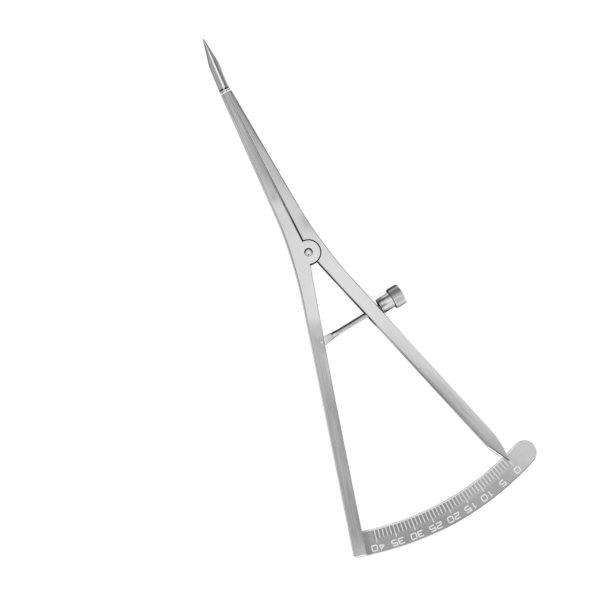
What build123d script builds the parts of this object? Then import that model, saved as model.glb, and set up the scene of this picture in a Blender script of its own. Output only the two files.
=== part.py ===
"""Surgical caliper with bent tips, a fixed arc scale and a thumb nut that sets the opening.

Two flat arms turn on one rivet. Squeezing the handles opens the tips. The pointer at the end of one handle
shows the opening on the scale, which is brazed into the other handle. A screw is pinned in the scale arm. It
passes through a slot in the pointer arm, and carries the nut that holds the opening.

Frame: millimetres. The pivot axis is Z, the back faces of the arms lie on z = 0, and the tips point along +Y.
The pointer arm is on the +X side. The tips are closed.
"""
from build123d import *
import math
import os

# Measuring geometry
POINT_RADIUS = 75.4         # pivot axis to the measuring points
MEASURING_RANGE = 40.0      # widest opening between the points

# Flat stock of both arms
ARM_THICKNESS = 3.6
EDGE_RADIUS = 0.3           # rounding along the arms' long edges
SEAM_GAP = 0.3              # between the arms above the pivot, tips closed
POINT_GAP = 0.06            # between the measuring points, tips closed

# Upper arms, each half of the spear
ROOT_DISTANCE = 14.0        # pivot to where the flat stock turns into the rounded taper
ROOT_WIDTH = 4.05           # seam plane to outer edge there
STEP_WIDTH = 1.75           # seam plane to outer edge at the step
STEP_THICKNESS = 2.8        # thickness of the arm at the step
STEP_ROUND_OUTER = 1.0      # rounding of the front's outer corner at the step
STEP_ROUND_SEAM = 0.2       # rounding of the front's corner beside the seam at the step

# Bent tips
TIP_LENGTH = 17.1           # milled step at the tip's foot to the measuring point
TIP_BEND = 28.0             # degrees that the tips lean forward
TIP_FRONT_HEIGHT = 1.75     # height of the milled front at the step
TIP_BACK_RUN = 0.4          # flat of the back that runs on past the step
TIP_WIDTH = 1.68            # seam plane to outer edge of the parallel part
TIP_SHOULDER_SHARE = 0.51   # part of the tip's length that stays parallel
TIP_POINT_WIDTH = 0.14      # width left at the point
TIP_POINT_THICKNESS = 0.3
TIP_BEVEL_WIDTH = 0.65      # slanted strip along the outer edge of the tip's front
TIP_BEVEL_ANGLE = 38.0      # degrees from the front to that strip
SCOOP_RADIUS = 0.7          # cutter that leaves the hollow step

# Handles, offsets counted outward from the line through the pivot
POINTER_HANDLE_ANGLE = 15.7 # degrees from -Y toward +X, tips closed
CLOSING_MARGIN = 0.69       # degrees left between the handles' lines at the widest opening
SHOULDER_DISTANCE = 15.0    # down the handle to where the hip curve ends
SLIM_DISTANCE = 45.0        # down the handle to where its edges turn parallel
HIP_WIDTH = 5.75            # pivot axis to the outer edge of either arm, square to the seam
SCALE_INNER_SHOULDER = 0.4
SCALE_INNER = 0.8
SCALE_OUTER_SHOULDER = 4.85
SCALE_OUTER = 4.75
POINTER_INNER_SHOULDER = 0.1
POINTER_INNER = 0.3
POINTER_OUTER_SHOULDER = 4.75
POINTER_OUTER = 4.6

# Half-lap pivot
LAP_GAP = 0.1               # between the half-laps
LUG_RADIUS = 3.75           # front lug on the scale arm
LUG_GAP = 0.4               # from each lug to the recess around it
BACK_LUG_RADIUS = 4.3       # back lug on the pointer arm
RIVET_RADIUS = 1.1
RIVET_HEAD_RADIUS = 1.35
RIVET_HEAD_RISE = 0.3       # dome above the arm's face
RIVET_SEAT_DEPTH = 0.35     # recess that the head is set into
RIVET_SEAT_GAP = 0.06
FIXED_FIT = 0.01            # radial gap of a pin where it is held fast
TURNING_FIT = 0.05          # radial gap of a pin where a piece turns on it

# Scale plate
SCALE_INNER_RADIUS = 90.6
SCALE_WIDTH = 8.0
SCALE_THICKNESS = 1.2
SCALE_EDGE_BEVEL = 0.2
SCALE_END_MARGIN = 3.35     # degrees from the zero mark to the centre of the plate's round end
SCALE_SEAT_DEPTH = 2.8      # how far the plate runs into the scale arm
BRAZE_GAP = 0.03
SCALE_ARM_END_BEVEL = 0.45
SCALE_ARM_CORNER = 0.9      # rounding of the handle's outer end corner

# Pointer at the end of the pointer arm
POINTER_REACH = 2.05        # pointer's point past the scale's inner edge
POINTER_POINT_OFFSET = 2.14 # outward from the handle's line
POINTER_CURVE_LENGTH = 12.6 # from the point back to where the outer edge curves in
POINTER_BEVEL_LENGTH = 7.7  # from the point back to where the inner edge is cut away
POINTER_BEVEL_RUN = 0.2     # how far the bevel leans out below the reading edge
POINTER_POINT_WIDTH = 0.16
POINTER_OVER_SCALE = 0.15   # from the pointer's underside to the scale
POINTER_RELIEF_GAP = 0.5    # from the relieved back of the arm to the scale's inner edge

# Adjusting screw
PIN_DISTANCE = 29.1         # down the scale handle to the hinge pin
PIN_INSET = 0.95            # from the handle's inner edge to the pin's axis
PIN_RADIUS = 0.475
SCREW_REST_ANGLE = 4.5      # degrees from +X, tips closed
SCREW_SWING = 12.9          # degrees that the screw swings back, to the widest opening
SCREW_RADIUS = 1.0
SCREW_STAND = 0.1           # free end of the screw beyond the nut, tips closed
SCREW_END_BEVEL = 0.25
EYE_RADIUS = 1.6
EYE_THICKNESS = 1.3
EYE_TAPER_END = 4.4         # pin axis to where the flattened end has narrowed to the rod
EYE_SIDE_GAP = 0.1          # on each side of the eye in the handle's slot
EYE_END_GAP = 0.3           # around the eye's rim in the slot
SLOT_LENGTH = 9.0           # slot in the pointer arm, along the handle
SLOT_SIDE_GAP = 0.15        # above and below the screw in that slot

# Thumb nut and its washer
NECK_RADIUS = 2.6
HEAD_RADIUS = 3.46
NECK_LENGTH = 4.05
HEAD_LENGTH = 3.95
SHOULDER_BREAK = 0.45       # both corners of the head are broken in two flats
HEAD_END_BREAK = 0.6
BREAK_SHARE = 0.3           # how far in the two flats of a broken corner meet, as a share of it
NECK_BEVEL = 0.12
NUT_BORE_GAP = 0.05         # radial, thread crests left out
KNURL_COUNT = 32
KNURL_DEPTH = 0.25
WASHER_THICKNESS = 0.3
WASHER_RADIUS = 2.5
WASHER_BORE_GAP = 0.12
WASHER_SEAT_GAP = 0.1       # from the washer's rim to the pointer arm
NUT_SEAT_GAP = 0.03         # from the washer to the nut

# Levels and places that follow from the sizes above
MID_HEIGHT = ARM_THICKNESS / 2
LAP_FRONT = MID_HEIGHT + LAP_GAP / 2
LAP_BACK = MID_HEIGHT - LAP_GAP / 2
SCALE_BOTTOM = MID_HEIGHT - SCALE_THICKNESS / 2
SCALE_TOP = MID_HEIGHT + SCALE_THICKNESS / 2
STEP_DISTANCE = POINT_RADIUS - TIP_LENGTH
TIP_RISE = TIP_LENGTH * math.tan(math.radians(TIP_BEND))
SCALE_OUTER_RADIUS = SCALE_INNER_RADIUS + SCALE_WIDTH
POINTER_RADIUS = SCALE_INNER_RADIUS + POINTER_REACH
OPENING_ANGLE = 2 * math.degrees(math.asin(MEASURING_RANGE / (2 * POINT_RADIUS)))
SCALE_HANDLE_ANGLE = OPENING_ANGLE + CLOSING_MARGIN - POINTER_HANDLE_ANGLE
ZERO_MARK_ANGLE = POINTER_HANDLE_ANGLE + math.degrees(math.asin(POINTER_POINT_OFFSET / POINTER_RADIUS))


def right_handle(angle, along, offset):
    """Point of a handle on the +X side: so far down the handle, and so far outward from its line."""
    turn = math.radians(angle)
    x = along * math.sin(turn) + offset * math.cos(turn)
    y = offset * math.sin(turn) - along * math.cos(turn)
    return Vector(x, y)


def left_handle(angle, along, offset):
    """The same point for a handle on the -X side."""
    point = right_handle(angle, along, offset)
    return Vector(-point.X, point.Y)


def between(start, end, share):
    return start + (end - start) * share


def edge_offset(shoulder, slim, along):
    """Offset of a handle's edge, which leans a little from its shoulder to its slim part."""
    share = (along - SHOULDER_DISTANCE) / (SLIM_DISTANCE - SHOULDER_DISTANCE)
    return between(shoulder, slim, min(max(share, 0.0), 1.0))


# Hinge pin of the screw, and the frame of everything that is carried on the screw
PIN_OFFSET = edge_offset(SCALE_INNER_SHOULDER, SCALE_INNER, PIN_DISTANCE) + PIN_INSET
PIN_POINT = left_handle(SCALE_HANDLE_ANGLE, PIN_DISTANCE, PIN_OFFSET)
SCREW_DIRECTION = Vector(math.cos(math.radians(SCREW_REST_ANGLE)), math.sin(math.radians(SCREW_REST_ANGLE)))
SCREW_PLANE = Plane(origin=(PIN_POINT.X, PIN_POINT.Y, MID_HEIGHT), x_dir=(0, 0, 1), z_dir=SCREW_DIRECTION)


def screw_reach(offset):
    """Distance along the screw from its pin to a line that lies so far outward on the pointer handle."""
    outward = right_handle(POINTER_HANDLE_ANGLE, 0, 1)
    return (offset - outward.dot(PIN_POINT)) / outward.dot(SCREW_DIRECTION)


def screw_crossing(offset):
    """How far down the pointer handle the screw meets that line."""
    down = right_handle(POINTER_HANDLE_ANGLE, 1, 0)
    return down.dot(PIN_POINT + SCREW_DIRECTION * screw_reach(offset))


# The washer's lower rim meets the handle first, because the screw isn't square to it
SCREW_TILT = math.radians(POINTER_HANDLE_ANGLE - SCREW_REST_ANGLE)
HANDLE_OUTER_THERE = edge_offset(POINTER_OUTER_SHOULDER, POINTER_OUTER, screw_crossing(POINTER_OUTER))
SEAT_REACH = screw_reach(HANDLE_OUTER_THERE) + WASHER_RADIUS * math.tan(SCREW_TILT)
WASHER_START = SEAT_REACH + WASHER_SEAT_GAP
NUT_START = WASHER_START + WASHER_THICKNESS + NUT_SEAT_GAP
SCREW_LENGTH = NUT_START + NECK_LENGTH + HEAD_LENGTH + SCREW_STAND


def arm_blank(angle, inner_shoulder, inner, outer_shoulder, outer, length):
    """Flat stock of a right-hand arm, from the root of its upper part to the end of its handle."""
    root = Vector(ROOT_WIDTH, ROOT_DISTANCE)
    hip = Vector(HIP_WIDTH, 0)
    shoulder = right_handle(angle, SHOULDER_DISTANCE, outer_shoulder)
    taper = Vector(STEP_WIDTH - ROOT_WIDTH, STEP_DISTANCE - ROOT_DISTANCE)
    up_handle = right_handle(angle, 0, 0) - right_handle(angle, 1, 0)
    outer_edge = Spline(shoulder, hip, root, tangents=[up_handle, taper])
    straight_edges = Polyline(
        root,
        (SEAM_GAP / 2, ROOT_DISTANCE),
        (SEAM_GAP / 2, 0),
        right_handle(angle, SHOULDER_DISTANCE, inner_shoulder),
        right_handle(angle, SLIM_DISTANCE, inner),
        right_handle(angle, length, inner),
        right_handle(angle, length, outer),
        right_handle(angle, SLIM_DISTANCE, outer),
        shoulder,
    )
    blank = extrude(make_face(outer_edge.edges() + straight_edges.edges()), ARM_THICKNESS)
    return round_long_edges(blank, angle, length)


def round_long_edges(blank, angle, length):
    """Round the front and back edges, but for those across the root and across the handle's end."""
    end = right_handle(angle, length, 0)
    down = right_handle(angle, 1, 0)
    long_edges = [
        edge
        for edge in blank.edges()
        if abs(edge.tangent_at(0.5).Z) < 0.5
        and edge.center().Y < ROOT_DISTANCE - EDGE_RADIUS
        and (end - edge.center()).dot(down) > EDGE_RADIUS
    ]
    return fillet(long_edges, EDGE_RADIUS)


def rounded_box(low, high, radii):
    """Face of a rectangle from corner low to corner high, with its own radius at each corner in turn."""
    corners = [
        Vector(low[0], low[1]),
        Vector(high[0], low[1]),
        Vector(high[0], high[1]),
        Vector(low[0], high[1]),
    ]
    edges = ShapeList()
    for turn, (corner, radius) in enumerate(zip(corners, radii)):
        before = (corner - corners[turn - 1]).normalized()
        after = (corners[(turn + 1) % 4] - corner).normalized()
        following = corners[(turn + 1) % 4] - after * radii[(turn + 1) % 4]
        edges += TangentArc(corner - before * radius, corner + after * radius, tangent=before).edges()
        edges += Line(corner + after * radius, following).edges()
    return make_face(edges)


def arm_section(distance, width, thickness, outer_round, seam_round):
    """Cross-section of a right-hand upper arm, square to the seam."""
    plane = Plane(origin=(0, distance, 0), x_dir=(1, 0, 0), z_dir=(0, -1, 0))
    radii = [EDGE_RADIUS, EDGE_RADIUS, outer_round, seam_round]
    return plane * rounded_box((SEAM_GAP / 2, 0), (width, thickness), radii)


def upper_arm():
    """Right-hand upper arm: flat at its root, with a rounded front where it meets the tip."""
    root = arm_section(ROOT_DISTANCE, ROOT_WIDTH, ARM_THICKNESS, EDGE_RADIUS, EDGE_RADIUS)
    step = arm_section(STEP_DISTANCE, STEP_WIDTH, STEP_THICKNESS, STEP_ROUND_OUTER, STEP_ROUND_SEAM)
    return loft([root, step])


def tip():
    """Right-hand tip: half a spear, bent forward, with a flat milled front."""
    foot = STEP_DISTANCE - SCOOP_RADIUS
    front_height = TIP_FRONT_HEIGHT + TIP_RISE
    outline = Polyline(
        (SEAM_GAP / 2, foot),
        (SEAM_GAP / 2, STEP_DISTANCE),
        (POINT_GAP / 2, POINT_RADIUS),
        (POINT_GAP / 2 + TIP_POINT_WIDTH, POINT_RADIUS),
        (TIP_WIDTH, STEP_DISTANCE + TIP_LENGTH * TIP_SHOULDER_SHARE),
        (TIP_WIDTH, foot),
        close=True,
    )
    side = Polyline(
        (foot, 0),
        (STEP_DISTANCE + TIP_BACK_RUN, 0),
        (POINT_RADIUS, front_height - TIP_POINT_THICKNESS / math.cos(math.radians(TIP_BEND))),
        (POINT_RADIUS, front_height),
        (STEP_DISTANCE, TIP_FRONT_HEIGHT),
        (foot, TIP_FRONT_HEIGHT),
        close=True,
    )
    plan = extrude(make_face(outline), front_height)
    profile = extrude(Plane.YZ * make_face(side), STEP_WIDTH)
    return (plan & profile) - tip_bevels()


def tip_bevels():
    """Everything beyond the slanted strips along the front's outer edge, up to the shoulder and past it."""
    bend = math.radians(TIP_BEND)
    foot = Vector(TIP_WIDTH - TIP_BEVEL_WIDTH, STEP_DISTANCE, TIP_FRONT_HEIGHT)
    shoulder = foot + Vector(0, 1, math.tan(bend)) * TIP_LENGTH * TIP_SHOULDER_SHARE
    point = Vector((POINT_GAP + TIP_POINT_WIDTH) / 2, POINT_RADIUS, TIP_FRONT_HEIGHT + TIP_RISE)
    front = Vector(0, -math.sin(bend), math.cos(bend))
    lean = math.radians(TIP_BEVEL_ANGLE)
    size = 4 * TIP_LENGTH
    beyond = []
    for start, end in ((foot, shoulder), (shoulder, point)):
        along = (end - start).normalized()
        outward = along.cross(front)
        plane = Plane(origin=start, x_dir=along, z_dir=outward * math.sin(lean) + front * math.cos(lean))
        beyond.append(plane * Pos(0, 0, size / 2) * Box(size, size, size))
    return beyond


def step_scoop():
    """The cutter that hollows the step between an arm's rounded front and its tip."""
    height = TIP_FRONT_HEIGHT + SCOOP_RADIUS
    cutter = Rot(0, 90, 0) * Cylinder(SCOOP_RADIUS, 3 * STEP_WIDTH)
    return Pos(0, STEP_DISTANCE + SCOOP_RADIUS / 4, height) * cutter


def disc(radius, bottom, top):
    return Pos(0, 0, (bottom + top) / 2) * Cylinder(radius, top - bottom)


def rivet_seats():
    """Recesses that the rivet's two heads are set into."""
    radius = RIVET_HEAD_RADIUS + RIVET_SEAT_GAP
    front = disc(radius, ARM_THICKNESS - RIVET_SEAT_DEPTH, 2 * ARM_THICKNESS)
    back = disc(radius, -ARM_THICKNESS, RIVET_SEAT_DEPTH)
    return front + back


def scale_slot():
    """Slot in the scale arm that the end of the scale plate is brazed into, open at the handle's end."""
    reach = 2 * SCALE_OUTER_RADIUS
    start = SCALE_INNER_RADIUS - BRAZE_GAP
    depth = SCALE_INNER + SCALE_SEAT_DEPTH + BRAZE_GAP
    seat = Polyline(
        left_handle(SCALE_HANDLE_ANGLE, 0, depth),
        left_handle(SCALE_HANDLE_ANGLE, reach, depth),
        left_handle(SCALE_HANDLE_ANGLE, reach, -depth),
        left_handle(SCALE_HANDLE_ANGLE, 0, -depth),
        close=True,
    )
    height = SCALE_THICKNESS + 2 * BRAZE_GAP
    slot = Pos(0, 0, SCALE_BOTTOM - BRAZE_GAP) * extrude(make_face(seat), height)
    return slot - disc(start, -ARM_THICKNESS, 2 * ARM_THICKNESS)


def eye_slot():
    """Slot in the scale arm for the screw's flattened end, open to every direction the screw takes."""
    width = 2 * (EYE_RADIUS + EYE_END_GAP)
    height = EYE_THICKNESS + 2 * EYE_SIDE_GAP
    reach = PIN_INSET + width
    slot = Cylinder(width / 2, height)
    for angle in (SCREW_REST_ANGLE, SCREW_REST_ANGLE - SCREW_SWING):
        slot += Rot(0, 0, angle) * Pos(reach / 2, 0) * Box(reach, width, height)
    return Pos(PIN_POINT.X, PIN_POINT.Y, MID_HEIGHT) * slot


def pin_bore(radius):
    return Pos(PIN_POINT.X, PIN_POINT.Y, MID_HEIGHT) * Cylinder(radius, 2 * ARM_THICKNESS)


def scale_arm():
    arm = arm_blank(
        SCALE_HANDLE_ANGLE,
        SCALE_INNER_SHOULDER,
        SCALE_INNER,
        SCALE_OUTER_SHOULDER,
        SCALE_OUTER,
        SCALE_OUTER_RADIUS,
    )
    arm = finish_handle_end(arm)
    arm = mirror(arm + upper_arm() + tip() - step_scoop(), Plane.YZ)
    arm -= disc(BACK_LUG_RADIUS + LUG_GAP, -ARM_THICKNESS, LAP_FRONT)
    arm += disc(LUG_RADIUS, LAP_FRONT, ARM_THICKNESS)
    arm -= disc(RIVET_RADIUS + FIXED_FIT, -ARM_THICKNESS, 2 * ARM_THICKNESS)
    arm -= rivet_seats()
    arm -= scale_slot()
    arm -= eye_slot()
    arm -= pin_bore(PIN_RADIUS + FIXED_FIT)
    return arm


def finish_handle_end(arm):
    """Round the outer end corner of the scale handle, and bevel its end, front and back."""
    centre = right_handle(
        SCALE_HANDLE_ANGLE,
        SCALE_OUTER_RADIUS - SCALE_ARM_CORNER,
        SCALE_OUTER - SCALE_ARM_CORNER,
    )
    round_corner = Cylinder(SCALE_ARM_CORNER, 2 * ARM_THICKNESS)
    square_corner = Rot(0, 0, SCALE_HANDLE_ANGLE) * Box(
        2 * SCALE_ARM_CORNER,
        2 * SCALE_ARM_CORNER,
        2 * ARM_THICKNESS,
        align=(Align.MIN, Align.MAX, Align.CENTER),
    )
    arm -= Pos(centre.X, centre.Y, MID_HEIGHT) * (square_corner - round_corner)
    down = right_handle(SCALE_HANDLE_ANGLE, 1, 0)
    across = right_handle(SCALE_HANDLE_ANGLE, 0, 1)
    plane = Plane(origin=(0, 0, 0), x_dir=down, z_dir=-across)
    cut = SCALE_OUTER_RADIUS - SCALE_ARM_END_BEVEL
    reach = 2 * ARM_THICKNESS
    beyond = SCALE_OUTER_RADIUS + reach
    wedge = Polyline(
        (cut - reach, reach),
        (beyond, -reach - SCALE_ARM_END_BEVEL),
        (beyond, reach),
        close=True,
    )
    front_wedge = extrude(plane * make_face(wedge), 2 * SCALE_OUTER, both=True)
    front_wedge = Pos(0, 0, ARM_THICKNESS) * front_wedge
    back_wedge = Pos(0, 0, ARM_THICKNESS) * mirror(front_wedge, Plane.XY)
    return arm - front_wedge - back_wedge


def pointer_arm():
    arm = arm_blank(
        POINTER_HANDLE_ANGLE,
        POINTER_INNER_SHOULDER,
        POINTER_INNER,
        POINTER_OUTER_SHOULDER,
        POINTER_OUTER,
        POINTER_RADIUS,
    )
    arm = shape_pointer(arm)
    arm = arm + upper_arm() + tip() - step_scoop()
    arm -= disc(LUG_RADIUS + LUG_GAP, LAP_BACK, 2 * ARM_THICKNESS)
    arm += disc(BACK_LUG_RADIUS, 0, LAP_BACK)
    arm -= disc(RIVET_RADIUS + TURNING_FIT, -ARM_THICKNESS, 2 * ARM_THICKNESS)
    arm -= rivet_seats()
    arm -= screw_slot()
    return arm


def shape_pointer(arm):
    """Cut the handle's end to a point with a bevelled reading edge, and relieve its back over the scale."""
    angle = POINTER_HANDLE_ANGLE
    half = POINTER_POINT_WIDTH / 2
    along = math.sqrt(POINTER_RADIUS**2 - POINTER_POINT_OFFSET**2)
    beyond = 2 * POINTER_RADIUS
    curve_start = POINTER_RADIUS - POINTER_CURVE_LENGTH
    start = right_handle(angle, curve_start, POINTER_OUTER)
    point_outer = right_handle(angle, along, POINTER_POINT_OFFSET + half)
    point_inner = right_handle(angle, along, POINTER_POINT_OFFSET - half)
    curve = TangentArc(start, point_outer, tangent=right_handle(angle, 1, 0))
    outside = Polyline(
        point_outer,
        right_handle(angle, beyond, POINTER_POINT_OFFSET + half),
        right_handle(angle, beyond, 2 * POINTER_OUTER),
        right_handle(angle, curve_start, 2 * POINTER_OUTER),
        start,
    )
    arm -= extrude(make_face(curve.edges() + outside.edges()), ARM_THICKNESS)
    bevel_start = POINTER_RADIUS - POINTER_BEVEL_LENGTH
    arm -= reading_bevel(point_inner, right_handle(angle, bevel_start, POINTER_INNER))
    relief = disc(beyond, -ARM_THICKNESS, SCALE_TOP + POINTER_OVER_SCALE)
    relief -= disc(SCALE_INNER_RADIUS - POINTER_RELIEF_GAP, -2 * ARM_THICKNESS, 2 * ARM_THICKNESS)
    return arm - relief


def reading_bevel(point, corner):
    """Everything beyond the leaning face that runs from the corner of the handle to the pointer's point."""
    edge = (point - corner).normalized()
    outward = Vector(edge.Y, -edge.X)
    far = 4 * POINTER_OUTER
    plane = Plane(origin=(point.X, point.Y, ARM_THICKNESS), x_dir=outward, z_dir=-edge)
    section = Polyline(
        (0, far),
        (0, 0),
        (POINTER_BEVEL_RUN, -ARM_THICKNESS),
        (far, -ARM_THICKNESS),
        (far, far),
        close=True,
    )
    return extrude(plane * make_face(section), 4 * POINTER_RADIUS, both=True)


def screw_slot():
    """Slot through the pointer arm's width that lets the screw swing, with its middle on the screw."""
    middle = (screw_crossing(POINTER_INNER) + screw_crossing(POINTER_OUTER)) / 2
    place = right_handle(POINTER_HANDLE_ANGLE, middle, 0)
    outward = right_handle(POINTER_HANDLE_ANGLE, 0, 1)
    down = right_handle(POINTER_HANDLE_ANGLE, 1, 0)
    plane = Plane(origin=(place.X, place.Y, MID_HEIGHT), x_dir=down, z_dir=outward)
    height = 2 * (SCREW_RADIUS + SLOT_SIDE_GAP)
    return extrude(plane * SlotOverall(SLOT_LENGTH, height), 2 * POINTER_OUTER, both=True)


def pivot_rivet():
    """Rivet with a low domed head in front and a head that is filed flush with the back of the arms."""
    seat = ARM_THICKNESS - RIVET_SEAT_DEPTH
    rim = ARM_THICKNESS - RIVET_SEAT_DEPTH / 2
    crown = ARM_THICKNESS + RIVET_HEAD_RISE
    edges = [
        RadiusArc((0, crown), (RIVET_HEAD_RADIUS, rim), dome_radius(RIVET_HEAD_RADIUS, crown - rim)),
        Polyline(
            (RIVET_HEAD_RADIUS, rim),
            (RIVET_HEAD_RADIUS, seat),
            (RIVET_RADIUS, seat),
            (RIVET_RADIUS, RIVET_SEAT_DEPTH),
            (RIVET_HEAD_RADIUS, RIVET_SEAT_DEPTH),
            (RIVET_HEAD_RADIUS, 0),
            (0, 0),
            (0, crown),
        ),
    ]
    return spin(edges)


def dome_radius(reach, rise):
    """Radius of the arc that rises so far over a half width."""
    return (reach**2 + rise**2) / (2 * rise)


def spin(edges):
    """Solid of revolution around Z from a half outline whose points are (radius, height)."""
    outline = ShapeList([edge for item in edges for edge in item.edges()])
    return revolve(Plane.XZ * make_face(outline), Axis.Z)


def scale_plate():
    """Arc of flat stock around the pivot with a round free end. Its other end follows the arm's edge."""
    end_angle = ZERO_MARK_ANGLE + SCALE_END_MARGIN
    end = right_handle(end_angle, SCALE_INNER_RADIUS + SCALE_WIDTH / 2, 0)
    ring = Circle(SCALE_OUTER_RADIUS) - Circle(SCALE_INNER_RADIUS)
    reach = 2 * SCALE_OUTER_RADIUS
    wedge = Polyline(
        left_handle(SCALE_HANDLE_ANGLE, 0, SCALE_INNER + SCALE_SEAT_DEPTH),
        left_handle(SCALE_HANDLE_ANGLE, reach, SCALE_INNER + SCALE_SEAT_DEPTH),
        right_handle(end_angle, reach, 0),
        (0, 0),
        close=True,
    )
    outline = (ring & make_face(wedge)) + Pos(end.X, end.Y) * Circle(SCALE_WIDTH / 2)
    plate = Pos(0, 0, SCALE_BOTTOM) * extrude(outline, SCALE_THICKNESS)
    rims = plate.edges().group_by(Axis.Z)[-1].filter_by(GeomType.CIRCLE)
    return chamfer(rims, SCALE_EDGE_BEVEL)


def screw_hinge_pin():
    pin = Pos(PIN_POINT.X, PIN_POINT.Y, MID_HEIGHT) * Cylinder(PIN_RADIUS, ARM_THICKNESS)
    return chamfer(pin.edges().filter_by(GeomType.CIRCLE), PIN_RADIUS / 4)


def adjusting_screw():
    """Rod whose end is flattened into an eye on the hinge pin, in the screw's own frame."""
    flat = Circle(EYE_RADIUS) + make_face(
        Polyline(
            (-EYE_RADIUS, 0),
            (-SCREW_RADIUS, EYE_TAPER_END),
            (SCREW_RADIUS, EYE_TAPER_END),
            (EYE_RADIUS, 0),
            close=True,
        )
    )
    eye = extrude(flat, EYE_THICKNESS / 2, both=True)
    eye -= Cylinder(PIN_RADIUS + TURNING_FIT, 2 * EYE_THICKNESS)
    eye = Rot(0, 0, -90) * eye
    rod_start = EYE_TAPER_END - SCREW_RADIUS
    neck = loft([Circle(EYE_THICKNESS / 2), Pos(0, 0, SCREW_RADIUS) * Circle(SCREW_RADIUS)])
    neck = Pos(0, 0, rod_start) * neck
    rod_length = SCREW_LENGTH - EYE_TAPER_END
    rod = Pos(0, 0, EYE_TAPER_END + rod_length / 2) * Cylinder(SCREW_RADIUS, rod_length)
    rod = chamfer(rod.edges().group_by(Axis.Z)[-1], SCREW_END_BEVEL)
    flat_place = Plane(origin=(0, 0, 0), x_dir=(0, 0, 1), z_dir=(1, 0, 0))
    return SCREW_PLANE * (flat_place * eye + neck + rod)


def thrust_washer():
    """Plain washer between the nut and the pointer arm. It slides along the screw and doesn't turn."""
    ring = Cylinder(WASHER_RADIUS, WASHER_THICKNESS) - Cylinder(SCREW_RADIUS + WASHER_BORE_GAP, ARM_THICKNESS)
    return SCREW_PLANE * (Pos(0, 0, WASHER_START + WASHER_THICKNESS / 2) * ring)


def thumb_nut():
    """Nut with a plain neck and a straight-knurled head, bored right through for the screw."""
    bore = SCREW_RADIUS + NUT_BORE_GAP
    length = NECK_LENGTH + HEAD_LENGTH
    outline = Polyline(
        (bore, NECK_BEVEL),
        (bore + NECK_BEVEL, 0),
        (NECK_RADIUS - NECK_BEVEL, 0),
        (NECK_RADIUS, NECK_BEVEL),
        (NECK_RADIUS, NECK_LENGTH),
        (HEAD_RADIUS - SHOULDER_BREAK, NECK_LENGTH),
        (HEAD_RADIUS - BREAK_SHARE * SHOULDER_BREAK, NECK_LENGTH + BREAK_SHARE * SHOULDER_BREAK),
        (HEAD_RADIUS, NECK_LENGTH + SHOULDER_BREAK),
        (HEAD_RADIUS, length - HEAD_END_BREAK),
        (HEAD_RADIUS - BREAK_SHARE * HEAD_END_BREAK, length - BREAK_SHARE * HEAD_END_BREAK),
        (HEAD_RADIUS - HEAD_END_BREAK, length),
        (bore + NECK_BEVEL, length),
        (bore, length - NECK_BEVEL),
        close=True,
    )
    nut = spin([outline])
    side = KNURL_DEPTH * math.sqrt(2)
    groove = Rot(0, 0, 45) * Box(side, side, HEAD_LENGTH)
    middle = NECK_LENGTH + HEAD_LENGTH / 2
    nut -= [Pos(0, 0, middle) * place * groove for place in PolarLocations(HEAD_RADIUS, KNURL_COUNT)]
    return SCREW_PLANE * (Pos(0, 0, NUT_START) * nut)


def main():
    pieces = {
        "scale_arm": scale_arm(),
        "pointer_arm": pointer_arm(),
        "pivot_rivet": pivot_rivet(),
        "scale_plate": scale_plate(),
        "screw_hinge_pin": screw_hinge_pin(),
        "adjusting_screw": adjusting_screw(),
        "thrust_washer": thrust_washer(),
        "thumb_nut": thumb_nut(),
    }
    os.makedirs("parts", exist_ok=True)
    for name, piece in pieces.items():
        export_step(piece, f"parts/{name}.step")
    print(f"opening angle {OPENING_ANGLE:.3f} degrees")
    print(f"hinge pin at {PIN_POINT.X:.3f}, {PIN_POINT.Y:.3f}")
    print(f"washer starts {WASHER_START:.3f} along the screw")


main()
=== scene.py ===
"""Looks of the surgical caliper: satin steel, engraved marks, screw thread, light and camera."""
import math

import bmesh
import bpy
from mathutils import Matrix, Vector


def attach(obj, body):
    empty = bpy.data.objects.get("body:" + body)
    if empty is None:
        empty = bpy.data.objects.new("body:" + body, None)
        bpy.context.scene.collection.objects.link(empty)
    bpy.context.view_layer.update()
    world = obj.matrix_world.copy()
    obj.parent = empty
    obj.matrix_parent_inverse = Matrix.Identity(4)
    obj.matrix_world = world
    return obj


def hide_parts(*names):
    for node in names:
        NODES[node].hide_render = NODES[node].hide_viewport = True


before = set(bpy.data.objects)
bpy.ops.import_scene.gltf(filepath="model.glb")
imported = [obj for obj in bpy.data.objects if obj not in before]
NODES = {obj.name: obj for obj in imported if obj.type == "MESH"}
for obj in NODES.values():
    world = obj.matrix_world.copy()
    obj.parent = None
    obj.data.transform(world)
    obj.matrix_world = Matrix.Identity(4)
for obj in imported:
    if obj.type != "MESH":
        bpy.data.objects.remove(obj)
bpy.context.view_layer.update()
SCENE = bpy.context.scene
MM = 0.001

# Places and sizes repeated from the part's source, in millimetres and degrees
SCALE_TOP = 2.4
SCALE_INNER_RADIUS = 90.6
SCALE_OUTER_RADIUS = 98.6
POINT_RADIUS = 75.4
LUG_RADIUS = 3.75
BACK_LUG_RADIUS = 4.3
LUG_GAP = 0.4
ZERO_MARK_ANGLE = 17.024
SCALE_HANDLE_ANGLE = 15.754
POINTER_HANDLE_ANGLE = 15.7
PIN_POINT = Vector((-9.381, -27.589, 1.8))
SCREW_REST_ANGLE = 4.5
SCREW_RADIUS = 1.0
SCREW_LENGTH = 30.617
NUT_START = 22.517
NECK_LENGTH = 4.05
HEAD_START = NUT_START + NECK_LENGTH
HEAD_LENGTH = 3.95
HEAD_RADIUS = 3.46
EYE_TAPER_END = 4.4
TIP_FOOT = 58.3
POINTER_RADIUS = 92.65
POINTER_BEVEL_START = POINTER_RADIUS - 7.7
POINTER_INNER = 0.3
POINTER_END_INNER = 2.06

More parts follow.
